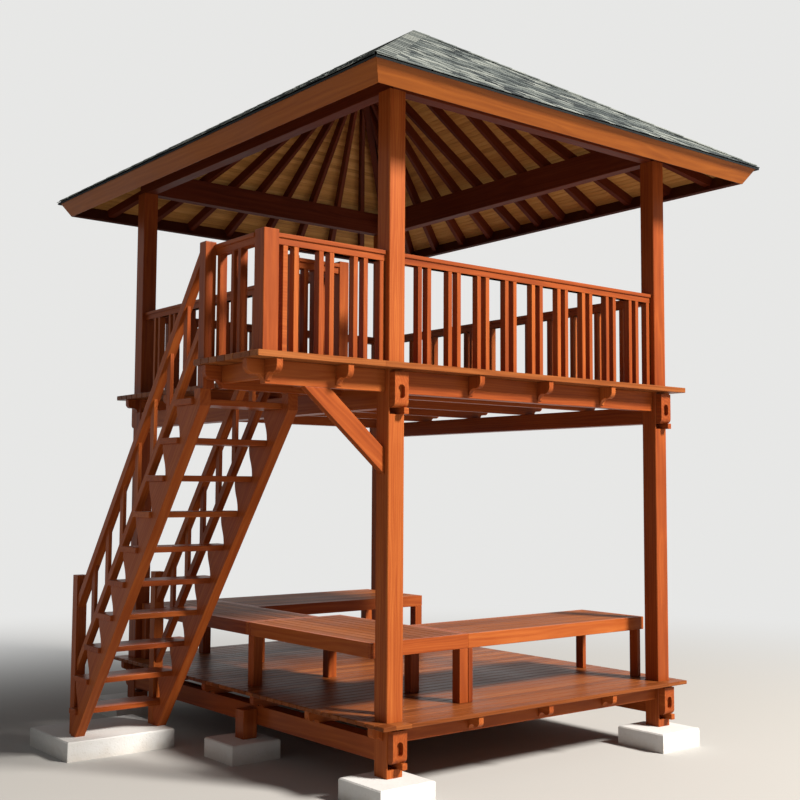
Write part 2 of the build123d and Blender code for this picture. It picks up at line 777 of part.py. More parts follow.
with BuildPart() as fascia_sides:
    for name in ("left", "right"):
        add(slope_layer(slopes[name], -fascia_depth, 0, 0, fascia_thickness).part)
save_piece(fascia_sides, "fascia_sides")
with BuildPart() as fascia_ends:
    for name in ("front", "back"):
        add(slope_layer(slopes[name], -fascia_depth, 0, 0, fascia_thickness).part)
save_piece(fascia_ends, "fascia_ends")


def ceiling(roof_slope):
    """The ceiling boards of one slope, from the fascia to the ridge."""
    reach = roof_slope.length + cutting_margin
    return slope_layer(roof_slope, -ceiling_thickness, 0, fascia_thickness, reach)


def cover(roof_slope):
    """The shingled cover of one slope, dripping past the fascia."""
    return slope_layer(roof_slope, 0, cover_thickness, -cover_drip, roof_slope.length + cutting_margin)


for name in ("left", "right"):
    save_piece(ceiling(slopes[name]), f"ceiling_{name}")
    save_piece(cover(slopes[name]), f"roof_cover_{name}")
with BuildPart() as ceiling_ends:
    for name in ("front", "back"):
        add(ceiling(slopes[name]).part)
save_piece(ceiling_ends, "ceiling_ends")
with BuildPart() as roof_cover_ends:
    for name in ("front", "back"):
        add(cover(slopes[name]).part)
save_piece(roof_cover_ends, "roof_cover_ends")

# Capping along the hips and the ridge
with BuildPart() as hip_and_ridge_caps:
    for roof_slope in slopes.values():
        reach = roof_slope.length + cutting_margin
        low, high = cover_thickness, cover_thickness + cap_thickness
        add(slope_layer(roof_slope, low, high, -cover_drip, reach).part)
        add(slope_layer(roof_slope, low, high, -2 * cover_drip, reach, cap_width).part, mode=Mode.SUBTRACT)
save_piece(hip_and_ridge_caps, "hip_and_ridge_caps")


# Rafters that fan out from the ends of the ridge
def fan_rafter(roof_slope, head, foot):
    """One tapered rafter from its head point in plan, through a foot point over the plate."""
    head_u, head_v = roof_slope.place(*head)
    foot_u, foot_v = roof_slope.place(*foot)
    line = Vector(foot_u - head_u, foot_v - head_v, 0)
    reach = (head_v + rafter_tail) / (head_v - foot_v) * line.length
    along = line.normalized()
    across = Vector(-along.Y, along.X, 0)
    start = Vector(head_u, head_v, 0)
    end = start + along * reach
    half_head = rafter_head_width / 2
    half_foot = rafter_width / 2
    corners = [start + across * half_head, start - across * half_head,
               end - across * half_foot, end + across * half_foot]
    with BuildSketch(roof_slope.plane.offset(-ceiling_thickness - rafter_depth)) as outline:
        with BuildLine():
            Polyline(*[(c.X, c.Y) for c in corners], close=True)
        make_face()
    extrude(outline.sketch, amount=rafter_depth)


def rafter_feet(name):
    """Head and foot points in plan of the rafters of one slope."""
    feet = []
    if name in ("front", "back"):
        y = 0 if name == "front" else frame_depth
        head = ridge_ends[0] if name == "front" else ridge_ends[1]
        for step in range(1, end_rafter_count + 1):
            feet.append((head, (frame_width * step / (end_rafter_count + 1), y)))
    else:
        x = 0 if name == "left" else frame_width
        for step in range(1, side_rafter_count + 1):
            y = frame_depth * step / (side_rafter_count + 1)
            head_y = min(max(y, ridge_front), ridge_back)
            feet.append(((ridge_x, head_y), (x, y)))
    return feet


def slope_rafters(name):
    """The rafters of one slope, cut between the hips, the fascia and the ridge."""
    roof_slope = slopes[name]
    with BuildPart() as rafters:
        for head, foot in rafter_feet(name):
            fan_rafter(roof_slope, head, foot)
        split(bisect_by=roof_slope.foot_plane(fascia_thickness), keep=Keep.TOP)
        for plane in roof_slope.bounds(hip_width / 2 + fit_gap):
            split(bisect_by=plane, keep=Keep.TOP)
        ridge_core(fit_gap, Mode.SUBTRACT)
    return rafters


with BuildPart() as rafters_ends:
    for name in ("front", "back"):
        add(slope_rafters(name).part)
save_piece(rafters_ends, "rafters_ends")
with BuildPart() as rafters_sides:
    for name in ("left", "right"):
        add(slope_rafters(name).part)
save_piece(rafters_sides, "rafters_sides")

# Hip rafters, backed to both slopes and let in behind the fascia
hip_sides = [("front", "left"), ("front", "right"), ("back", "right"), ("back", "left")]
with BuildPart() as hip_rafters:
    for corner, sides in zip(eave_corners, hip_sides):
        head = ridge_ends[0] if sides[0] == "front" else ridge_ends[1]
        along = Vector(corner[0] - head[0], corner[1] - head[1], 0)
        run = along.length
        hip_plane = Plane(origin=(head[0], head[1], ridge_level), x_dir=along.normalized(),
                          z_dir=along.normalized().cross(Vector(0, 0, 1)))
        fall = -(ridge_level - eave_level)
        with BuildPart(mode=Mode.PRIVATE) as hip:
            with BuildSketch(hip_plane):
                with BuildLine():
                    Polyline((0, 0), (run, fall), (run, fall - hip_depth), (0, -hip_depth), close=True)
                make_face()
            extrude(amount=hip_width / 2, both=True)
            for side in sides:
                split(bisect_by=slopes[side].plane.offset(-ceiling_thickness), keep=Keep.BOTTOM)
                split(bisect_by=slopes[side].foot_plane(fascia_thickness), keep=Keep.TOP)
            ridge_core(fit_gap, Mode.SUBTRACT)
        add(hip.part)
save_piece(hip_rafters, "hip_rafters")


# Wall plates on the posts, their tops bevelled to the undersides of the rafters
def plate(low, high):
    """One plate between two corners in plan, cut to the roof."""
    with BuildPart() as bar:
        block((*low, plate_bottom), (*high, plate_bottom + cutting_margin))
        for roof_slope in slopes.values():
            split(bisect_by=roof_slope.plane.offset(-ceiling_thickness - rafter_depth), keep=Keep.BOTTOM)
    return bar


half_plate = plate_width / 2
with BuildPart() as side_plates:
    for x in (0, frame_width):
        add(plate((x - half_plate, -half_post), (x + half_plate, frame_depth + half_post)).part)
save_piece(side_plates, "side_plates")
with BuildPart() as end_plates:
    for y in (0, frame_depth):
        add(plate((half_plate, y - half_plate), (frame_width - half_plate, y + half_plate)).part)
save_piece(end_plates, "end_plates")
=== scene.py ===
import math

import bmesh
import bpy
import numpy as np
from mathutils import Matrix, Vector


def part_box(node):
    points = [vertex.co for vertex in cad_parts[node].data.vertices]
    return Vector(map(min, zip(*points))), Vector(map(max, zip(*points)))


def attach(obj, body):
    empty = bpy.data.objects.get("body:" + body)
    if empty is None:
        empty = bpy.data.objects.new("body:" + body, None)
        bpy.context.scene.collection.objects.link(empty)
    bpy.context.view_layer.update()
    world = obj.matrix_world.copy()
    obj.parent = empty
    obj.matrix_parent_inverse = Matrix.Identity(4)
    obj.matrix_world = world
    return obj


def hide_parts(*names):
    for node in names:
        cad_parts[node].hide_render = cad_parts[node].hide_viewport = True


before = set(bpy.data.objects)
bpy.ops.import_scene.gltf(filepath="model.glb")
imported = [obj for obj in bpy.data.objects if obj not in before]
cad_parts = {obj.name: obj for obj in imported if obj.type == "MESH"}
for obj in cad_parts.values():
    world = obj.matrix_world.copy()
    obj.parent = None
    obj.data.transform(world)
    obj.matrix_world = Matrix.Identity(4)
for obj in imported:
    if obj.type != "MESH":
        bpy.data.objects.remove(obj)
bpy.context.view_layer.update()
print("frame loaded:", len(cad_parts), "nodes")


# Shader groups

def newGroup(name, inputs, outputs):
    # an empty group with these sockets, its tree and its input and output nodes
    group = bpy.data.node_groups.new(name, "ShaderNodeTree")
    for label, kind, value in inputs:
        socket = group.interface.new_socket(name=label, in_out="INPUT", socket_type=kind)
        if value is not None:
            socket.default_value = value
    for label, kind in outputs:
        group.interface.new_socket(name=label, in_out="OUTPUT", socket_type=kind)
    tree = Tree(group)
    return group, tree, tree.add("NodeGroupInput"), tree.add("NodeGroupOutput")


class Tree:
    # shorthand for adding and joining nodes
    def __init__(self, nodeTree):
        self.nodes = nodeTree.nodes
        self.links = nodeTree.links

    def add(self, kind, **settings):
        node = self.nodes.new(kind if kind.startswith("Node") else "ShaderNode" + kind)
        for key, value in settings.items():
            setattr(node, key, value)
        return node

    def join(self, source, target):
        self.links.new(source, target)

    def math(self, operation, first, second=None, third=None, clamp=False):
        node = self.add("Math", operation=operation, use_clamp=clamp)
        for place, value in enumerate((first, second, third)):
            if value is None:
                continue
            if isinstance(value, (int, float)):
                node.inputs[place].default_value = value
            else:
                self.join(value, node.inputs[place])
        return node.outputs[0]

    def scaled(self, vector, scale):
        node = self.add("VectorMath", operation="MULTIPLY")
        self.join(vector, node.inputs[0])
        node.inputs[1].default_value = scale
        return node.outputs[0]

    def noise(self, vector, scale, detail=3.0, rough=0.55):
        node = self.add("TexNoise")
        self.join(vector, node.inputs["Vector"])
        node.inputs["Scale"].default_value = scale
        node.inputs["Detail"].default_value = detail
        node.inputs["Roughness"].default_value = rough
        return node.outputs["Fac"]

    def ramp(self, value, stops):
        node = self.add("ValToRGB")
        self.join(value, node.inputs["Fac"])
        bar = node.color_ramp
        stops = list(stops)
        while len(bar.elements) < len(stops):
            bar.elements.new(0.5)
        for element, (place, colour) in zip(bar.elements, stops):
            element.position = place
            element.color = (*colour, 1.0)
        return node.outputs["Color"]

    def span(self, value, low, high, toLow=0.0, toHigh=1.0):
        node = self.add("MapRange")
        self.join(value, node.inputs["Value"])
        for label, number in (("From Min", low), ("From Max", high), ("To Min", toLow), ("To Max", toHigh)):
            node.inputs[label].default_value = number
        return node.outputs["Result"]

    def mix(self, amount, first, second, kind="MIX"):
        node = self.add("Mix", data_type="RGBA", blend_type=kind)
        for socket, value in ((node.inputs[0], amount), (node.inputs[6], first), (node.inputs[7], second)):
            if isinstance(value, (int, float)):
                socket.default_value = value
            elif isinstance(value, tuple):
                socket.default_value = (*value, 1.0)
            else:
                self.join(value, socket)
        return node.outputs[2]


# how far each pattern is squeezed along and across the grain, and how sharply the rings darken
grainSettings = {"bend": (0.7, 5.0, 5.0), "streak": (0.9, 26.0, 26.0), "fibre": (9.0, 330.0, 330.0),
                 "ringEdge": 1.6, "fibreHeight": 0.7, "ringHeight": 0.3}


def buildTimberGrain():
    # growth rings round a pith beside the member, blurred along it, with fine fibres:
    # rings = distance from the pith x rings per metre + wobble, folded to and fro
    group, tree, inside, outside = newGroup(
        "timberGrain",
        [("Place", "NodeSocketVector", None), ("Rings per Metre", "NodeSocketFloat", 55.0),
         ("Wobble", "NodeSocketFloat", 0.9)],
        [("Grain", "NodeSocketFloat"), ("Streak", "NodeSocketFloat"), ("Fibre", "NodeSocketFloat"),
         ("Height", "NodeSocketFloat")])
    place = inside.outputs["Place"]
    bend = tree.noise(tree.scaled(place, grainSettings["bend"]), 1.0, 2.0)
    parts = tree.add("SeparateXYZ")
    tree.join(place, parts.inputs[0])
    radius = tree.math("SQRT", tree.math("ADD", tree.math("POWER", parts.outputs[1], 2.0),
                                         tree.math("POWER", parts.outputs[2], 2.0)))
    turns = tree.math("MULTIPLY", radius, inside.outputs["Rings per Metre"])
    turns = tree.math("ADD", turns, tree.math("MULTIPLY", bend, tree.math(
        "MULTIPLY", inside.outputs["Wobble"], 6.0)))
    ring = tree.math("MULTIPLY", tree.math("PINGPONG", turns, 0.5), 2.0)
    grain = tree.math("POWER", ring, grainSettings["ringEdge"])
    streak = tree.noise(tree.scaled(place, grainSettings["streak"]), 1.0, 3.0)
    fibre = tree.noise(tree.scaled(place, grainSettings["fibre"]), 1.0, 3.0)
    height = tree.math("ADD", tree.math("MULTIPLY", fibre, grainSettings["fibreHeight"]),
                       tree.math("MULTIPLY", grain, grainSettings["ringHeight"]))
    for label, value in (("Grain", grain), ("Streak", streak), ("Fibre", fibre), ("Height", height)):
        tree.join(value, outside.inputs[label])
    return group


def buildWeathering():
    # broad cloudy marks and small specks over the whole object
    group, tree, inside, outside = newGroup(
        "weathering",
        [("Place", "NodeSocketVector", None), ("Cloud Size", "NodeSocketFloat", 1.3),
         ("Speck Size", "NodeSocketFloat", 60.0)],
        [("Clouds", "NodeSocketFloat"), ("Specks", "NodeSocketFloat")])
    for size, detail, low, high, mask in (("Cloud Size", 4.0, 0.3, 0.7, "Clouds"),
                                          ("Speck Size", 2.0, 0.58, 0.72, "Specks")):
        pattern = tree.add("TexNoise")
        tree.join(inside.outputs["Place"], pattern.inputs["Vector"])
        tree.join(inside.outputs[size], pattern.inputs["Scale"])
        pattern.inputs["Detail"].default_value = detail
        tree.join(tree.span(pattern.outputs["Fac"], low, high), outside.inputs[mask])
    return group


timberGrain = buildTimberGrain()
weathering = buildWeathering()


def useGroup(tree, group, **values):
    # a node of the group with its inputs set or joined; a _ in a label stands for a space
    node = tree.add("Group")
    node.node_tree = group
    for label, value in values.items():
        socket = node.inputs[label.replace("_", " ")]
        if isinstance(value, (int, float)):
            socket.default_value = value
        else:
            tree.join(value, socket)
    return node


def newMaterial(name):
    material = bpy.data.materials.new(name)
    material.use_nodes = True
    tree = Tree(material.node_tree)
    shader = material.node_tree.nodes["Principled BSDF"]
    return material, tree, shader


def bump(tree, shader, height, strength, distance):
    # relief from a height mask; the distance is the height's scale in metres
    node = tree.add("Bump")
    tree.join(height, node.inputs["Height"])
    node.inputs["Strength"].default_value = strength
    node.inputs["Distance"].default_value = distance
    tree.join(node.outputs["Normal"], shader.inputs["Normal"])


# Timber finishes

timberSettings = {
    "varnishedTimber": {"dark": (0.170, 0.030, 0.008), "middle": (0.305, 0.066, 0.014),
                        "light": (0.440, 0.122, 0.027), "rough": (0.34, 0.48), "coat": 0.03,
                        "specular": 0.08, "ringsPerMetre": 42.0, "relief": 0.20},
    "roofTimber": {"dark": (0.060, 0.010, 0.004), "middle": (0.115, 0.020, 0.007),
                   "light": (0.175, 0.036, 0.012), "rough": (0.45, 0.60), "coat": 0.0,
                   "specular": 0.08, "ringsPerMetre": 42.0, "relief": 0.20},
    "fasciaTimber": {"dark": (0.210, 0.052, 0.008), "middle": (0.315, 0.088, 0.013),
                     "light": (0.410, 0.130, 0.022), "rough": (0.40, 0.52), "coat": 0.05,
                     "specular": 0.12, "ringsPerMetre": 24.0, "relief": 0.20,
                     "inside": (0.060, 0.011, 0.005)},
    "deckTimber": {"dark": (0.100, 0.024, 0.006), "middle": (0.210, 0.057, 0.014),
                   "light": (0.345, 0.112, 0.030), "rough": (0.30, 0.48), "coat": 0.01,
                   "specular": 0.07, "ringsPerMetre": 60.0, "relief": 0.40},
    "benchTimber": {"dark": (0.120, 0.029, 0.007), "middle": (0.235, 0.064, 0.013),
                    "light": (0.370, 0.112, 0.021), "rough": (0.40, 0.54), "coat": 0.0,
                    "specular": 0.05, "ringsPerMetre": 60.0, "relief": 0.35},
    "ceilingTimber": {"dark": (0.360, 0.165, 0.048), "middle": (0.600, 0.290, 0.080),
                      "light": (0.760, 0.420, 0.140), "rough": (0.50, 0.65), "coat": 0.0,
                      "specular": 0.15, "ringsPerMetre": 80.0, "relief": 0.30},
}

# what each mask adds to the shade, which runs from dark at 0 to light at 1, where the three tones lie
# on it, and what the clouds add to the roughness
shadeSettings = {"Grain": 0.16, "Streak": 0.62, "Fibre": 0.22, "member": 0.18, "clouds": (-0.05, 0.07),
                 "places": (0.12, 0.50, 0.88), "roughClouds": (-0.05, 0.08), "coatRough": 0.16,
                 "reliefDepth": 0.0012}


def timber(name, tones):
    # shade = weighted grain masks + the member's own tone + clouds, and a ramp turns it into colour
    material, tree, shader = newMaterial(name)
    place = tree.add("Attribute", attribute_name="grainPlace")
    tone = tree.add("Attribute", attribute_name="memberTone")
    grain = useGroup(tree, timberGrain, Place=place.outputs["Vector"],
                     Rings_per_Metre=tones["ringsPerMetre"])
    around = tree.add("TexCoord")
    wear = useGroup(tree, weathering, Place=around.outputs["Object"])
    shade = tree.span(tone.outputs["Fac"], 0.0, 1.0, -shadeSettings["member"], shadeSettings["member"])
    for mask in ("Grain", "Streak", "Fibre"):
        shade = tree.math("ADD", shade, tree.math("MULTIPLY", grain.outputs[mask], shadeSettings[mask]))
    shade = tree.math("ADD", shade, tree.span(wear.outputs["Clouds"], 0.0, 1.0, *shadeSettings["clouds"]),
                      clamp=True)
    colour = tree.ramp(shade, zip(shadeSettings["places"], (tones["dark"], tones["middle"], tones["light"])))
    if "inside" in tones:   # the side that faces the roof space takes a darker colour of its own
        colour = tree.mix(tree.add("Attribute", attribute_name="innerSide").outputs["Fac"], colour,
                          tones["inside"])
    tree.join(colour, shader.inputs["Base Color"])
    rough = tree.math("ADD", tree.span(grain.outputs["Fibre"], 0.3, 0.7, *tones["rough"]),
                      tree.span(wear.outputs["Clouds"], 0.0, 1.0, *shadeSettings["roughClouds"]))
    tree.join(rough, shader.inputs["Roughness"])
    shader.inputs["Specular IOR Level"].default_value = tones["specular"]
    shader.inputs["Coat Weight"].default_value = tones["coat"]
    shader.inputs["Coat Roughness"].default_value = shadeSettings["coatRough"]
    bump(tree, shader, grain.outputs["Height"], tones["relief"], shadeSettings["reliefDepth"])
    return material


finishes = {name: timber(name, tones) for name, tones in timberSettings.items()}


# Roof and pad finishes

shingleSettings = {
    "field": [(0.00, (0.010, 0.013, 0.016)), (0.20, (0.034, 0.043, 0.046)), (0.45, (0.086, 0.101, 0.101)),
              (0.72, (0.152, 0.170, 0.163)), (1.00, (0.262, 0.280, 0.262))],
    "caps": [(0.00, (0.070, 0.081, 0.080)), (0.50, (0.146, 0.163, 0.156)), (1.00, (0.246, 0.263, 0.246))],
    "toneWeight": 0.92, "grit": (-0.16, 0.20), "patch": (-0.03, 0.07), "gritScale": 420.0, "patchScale": 7.0,
    "rough": 0.9, "specular": 0.25, "relief": 0.55, "reliefDepth": 0.0015,
}


def granules(name, stops):
    # mineral granules: shade = the shingle's tone x its weight + fine grit + broad patches
    material, tree, shader = newMaterial(name)
    tone = tree.add("Attribute", attribute_name="memberTone")
    around = tree.add("TexCoord")
    grit = tree.noise(around.outputs["Object"], shingleSettings["gritScale"], 2.0, 0.7)
    patch = tree.noise(around.outputs["Object"], shingleSettings["patchScale"], 3.0)
    shade = tree.math("ADD", tree.math("MULTIPLY", tone.outputs["Fac"], shingleSettings["toneWeight"]),
                      tree.span(grit, 0.3, 0.7, *shingleSettings["grit"]))
    shade = tree.math("ADD", shade, tree.span(patch, 0.3, 0.7, *shingleSettings["patch"]), clamp=True)
    tree.join(tree.ramp(shade, stops), shader.inputs["Base Color"])
    shader.inputs["Roughness"].default_value = shingleSettings["rough"]
    shader.inputs["Specular IOR Level"].default_value = shingleSettings["specular"]
    bump(tree, shader, grit, shingleSettings["relief"], shingleSettings["reliefDepth"])
    return material


finishes["shingles"] = granules("shingles", shingleSettings["field"])
finishes["capShingles"] = granules("capShingles", shingleSettings["caps"])

padSettings = {
    "paint": (0.690, 0.695, 0.695), "chalk": (0.560, 0.545, 0.520), "sand": (0.500, 0.430, 0.350),
    "clouds": 0.35, "cloudSize": 4.0, "specks": 0.30, "speckSize": 45.0,
    "splash": 0.35, "splashHeight": 0.10, "ragged": 0.06, "raggedScale": 9.0,
    "rough": 0.85, "lumpScale": 60.0, "speckDepth": -0.6, "relief": 0.5, "reliefDepth": 0.004,
}


def paintedConcrete():
    # white paint over rough concrete: cloudy chalk, specks, and sand that fades with the height
    material, tree, shader = newMaterial("paintedConcrete")
    around = tree.add("TexCoord")
    place = around.outputs["Object"]
    marks = useGroup(tree, weathering, Place=place, Cloud_Size=padSettings["cloudSize"],
                     Speck_Size=padSettings["speckSize"])
    parts = tree.add("SeparateXYZ")
    tree.join(place, parts.inputs[0])
    edge = tree.span(tree.noise(place, padSettings["raggedScale"], 4.0), 0.2, 0.8,
                     -padSettings["ragged"], padSettings["ragged"])
    splash = tree.span(tree.math("ADD", parts.outputs[2], edge), 0.0, padSettings["splashHeight"],
                       padSettings["splash"], 0.0)
    colour = tree.mix(tree.math("MULTIPLY", marks.outputs["Clouds"], padSettings["clouds"]),
                      padSettings["paint"], padSettings["chalk"])
    colour = tree.mix(tree.math("MULTIPLY", marks.outputs["Specks"], padSettings["specks"]), colour,
                      padSettings["chalk"])
    colour = tree.mix(splash, colour, padSettings["sand"])
    tree.join(colour, shader.inputs["Base Color"])
    shader.inputs["Roughness"].default_value = padSettings["rough"]
    height = tree.math("ADD", tree.noise(place, padSettings["lumpScale"], 5.0),
                       tree.math("MULTIPLY", marks.outputs["Specks"], padSettings["speckDepth"]))
    bump(tree, shader, height, padSettings["relief"], padSettings["reliefDepth"])
    return material


finishes["paintedConcrete"] = paintedConcrete()
print("finishes made:", len(finishes))


# Shared shape tools

random = np.random.default_rng(11)   # one row of draws for all pieces, so their order counts


def finishPiece(name, mesh, material, nodes):
    # puts a finished mesh into the scene in place of its nodes
    mesh.materials.append(finishes[material])
    piece = bpy.data.objects.new(name, mesh)
    bpy.context.scene.collection.objects.link(piece)
    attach(piece, "root")
    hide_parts(*nodes)


def writeAttributes(mesh, places, tones):
    # the place in the grain and the member's tone, which the materials read at each vertex
    attribute = mesh.attributes.new("grainPlace", "FLOAT_VECTOR", "POINT")
    attribute.data.foreach_set("vector", np.ascontiguousarray(places, np.float32).ravel())
    attribute = mesh.attributes.new("memberTone", "FLOAT", "POINT")
    attribute.data.foreach_set("value", np.ascontiguousarray(tones, np.float32))


def memberLabels(count, edges):
    # the lowest vertex number that each vertex is joined to
    labels = np.arange(count)
    while True:
        low = np.minimum(labels[edges[:, 0]], labels[edges[:, 1]])
        lower = labels.copy()
        np.minimum.at(lower, edges[:, 0], low)
        np.minimum.at(lower, edges[:, 1], low)
        lower = lower[lower]
        if (lower == labels).all():
            return np.unique(labels, return_inverse=True)[1]
        labels = lower


def meshArrays(mesh):
    # the vertices' places and the edges' vertex numbers
    points = np.empty(len(mesh.vertices) * 3)
    mesh.vertices.foreach_get("co", points)
    edges = np.empty(len(mesh.edges) * 2, int)
    mesh.edges.foreach_get("vertices", edges)
    return points.reshape(-1, 3), edges.reshape(-1, 2)


weldDistance = 2e-5   # the frame's triangles share no vertices until those this close are joined


def solidBoxes(nodeName):
    # lowest and highest corners of each separate solid in a node
    copy = bmesh.new()
    copy.from_mesh(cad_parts[nodeName].data)
    bmesh.ops.remove_doubles(copy, verts=copy.verts, dist=weldDistance)
    mesh = bpy.data.meshes.new("solids")
    copy.to_mesh(mesh)
    copy.free()
    points, edges = meshArrays(mesh)
    bpy.data.meshes.remove(mesh)
    labels = memberLabels(len(points), edges)
    low = np.full((labels.max() + 1, 3), np.inf)
    high = -low
    np.minimum.at(low, labels, points)
    np.maximum.at(high, labels, points)
    return low, high


# the pith's distance from a member's middle, beside and below a board, and how far the grain is
# slid along, all in metres
pithSettings = {"reach": (0.05, 0.22), "boardSide": (-0.25, 0.25), "boardDepth": (0.03, 0.15), "slide": 9.0}


def grainPlaces(points, edges):
    # places along and across each member's longest edge, moved by its own slide and pith,
    # and a random tone for each member
    labels = memberLabels(len(points), edges)
    members = labels.max() + 1
    runs = points[edges[:, 1]] - points[edges[:, 0]]
    lengths = np.linalg.norm(runs, axis=1)
    order = np.lexsort((lengths, labels[edges[:, 0]]))
    last = np.searchsorted(labels[edges[order, 0]], np.arange(members), side="right") - 1
    along = runs[order[last]] / lengths[order[last]][:, None]
    upright = np.abs(along[:, 2]) > 0.9
    guide = np.where(upright[:, None], [1.0, 0.0, 0.0], [0.0, 0.0, 1.0])
    across = np.cross(guide, along)
    across /= np.linalg.norm(across, axis=1)[:, None]
    up = np.cross(along, across)
    centres = np.zeros((members, 3))
    np.add.at(centres, labels, points)
    centres /= np.bincount(labels)[:, None]
    away = points - centres[labels]
    turn = random.uniform(0.0, 2.0 * math.pi, members)
    reach = random.uniform(*pithSettings["reach"], members)
    shift = np.stack([random.uniform(0.0, pithSettings["slide"], members),
                      reach * np.cos(turn), reach * np.sin(turn)], axis=1)
    places = np.stack([(away * axis[labels]).sum(1) for axis in (along, across, up)], axis=1)
    return places + shift[labels], random.uniform(0.0, 1.0, members)[labels]


# Squared timbers

# how far the arrises are eased, in metres, and the finish of each node
timberNodes = {
    "varnishedTimber": {"slot": "varnished_timber", "nodes": {
        "corner_posts": 0.0, "middle_stub_posts": 0.004, "lower_side_beams": 0.004,
        "upper_side_beams": 0.004, "tenon_wedges": 0.003, "lower_rim_beams": 0.004,
        "upper_rim_beams": 0.004, "lower_joists": 0.003, "upper_joists": 0.003,
        "lower_brackets": 0.003, "upper_brackets": 0.003, "landing_beams": 0.003,
        "landing_joists": 0.003, "landing_brace": 0.004, "landing_posts": 0.005,
        "stair_newels": 0.004, "stair_stringers": 0.003, "stair_treads": 0.004,
        "stair_rails": 0.003, "rail_front": 0.003, "rail_right": 0.003, "rail_back": 0.003,
        "rail_left": 0.003, "rail_landing": 0.003, "bench_legs": 0.004}},
    "roofTimber": {"slot": "roof_timber", "nodes": {
        "side_plates": 0.004, "end_plates": 0.004, "rafters_sides": 0.003, "rafters_ends": 0.003,
        "hip_rafters": 0.003, "ridge_block": 0.004}},
    "fasciaTimber": {"slot": "fascia_timber", "nodes": {"fascia_sides": 0.003, "fascia_ends": 0.003}},
}
flatAngle = math.radians(0.5)    # triangles that differ less are merged into one face
foldAngle = math.radians(28.0)   # sharper outer edges are arrises, sharper inner ones part members
foldedBack = 3.0                 # radians: a sliver that lies flat on the face beside it


def partedMembers(copy):
    # faces that share no edge stop sharing vertices too
    copy.verts.index_update()
    copy.faces.index_update()
    pairs = [[face.index for face in edge.link_faces] for edge in copy.edges if len(edge.link_faces) == 2]
    labels = memberLabels(len(copy.faces), np.array(pairs)).tolist()
    numbers, points, faces = {}, [], []
    for face, label in zip(copy.faces, labels):
        faces.append([])
        for vertex in face.verts:
            key = (label, vertex.index)
            if key not in numbers:
                numbers[key] = len(points)
                points.append(tuple(vertex.co))
            faces[-1].append(numbers[key])
    return points, [], faces


def easedTimber(nodeName, easing):
    # merges the node's triangles, chamfers its outer arrises and parts its members at inner corners
    copy = bmesh.new()
    copy.from_mesh(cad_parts[nodeName].data)
    bmesh.ops.remove_doubles(copy, verts=copy.verts, dist=weldDistance)
    bmesh.ops.dissolve_limit(copy, angle_limit=flatAngle, verts=copy.verts, edges=copy.edges)
    if easing:
        arrises = [edge for edge in copy.edges
                   if edge.is_manifold and edge.calc_face_angle_signed() > foldAngle]
        bmesh.ops.bevel(copy, geom=arrises, offset=easing, offset_type="OFFSET", segments=2, profile=0.5,
                        affect="EDGES", clamp_overlap=True)
    corners = [edge for edge in copy.edges if edge.is_manifold
               and not -foldAngle <= edge.calc_face_angle_signed() <= foldedBack]
    bmesh.ops.split_edges(copy, edges=corners)
    mesh = bpy.data.meshes.new(nodeName)
    mesh.from_pydata(*partedMembers(copy))
    copy.free()
    writeAttributes(mesh, *grainPlaces(*meshArrays(mesh)))
    return mesh


innerReach = 0.3   # metres that a face's normal has to reach towards the middle of the roof


def markInnerSide(mesh):
    # 1 on the faces that look towards the middle of the roof, 0 on the others:
    # inward = the way from the face's centre to the middle, measured along the face's normal
    centres = np.empty(len(mesh.polygons) * 3)
    normals = np.empty(len(mesh.polygons) * 3)
    mesh.polygons.foreach_get("center", centres)
    mesh.polygons.foreach_get("normal", normals)
    centres, normals = centres.reshape(-1, 3)[:, :2], normals.reshape(-1, 3)[:, :2]
    inward = ((centres.min(0) + centres.max(0)) / 2 - centres) * normals
    attribute = mesh.attributes.new("innerSide", "FLOAT", "FACE")
    attribute.data.foreach_set("value", (inward.sum(1) > innerReach).astype(np.float32))


for material, group in timberNodes.items():
    for nodeName, easing in group["nodes"].items():
        words = nodeName.split("_")
        name = words[0] + "".join(word.capitalize() for word in words[1:])
        mesh = easedTimber(nodeName, easing)
        if material == "fasciaTimber":
            markInnerSide(mesh)
        finishPiece(name, mesh, material, [nodeName])
print("timbers eased")


# Boards

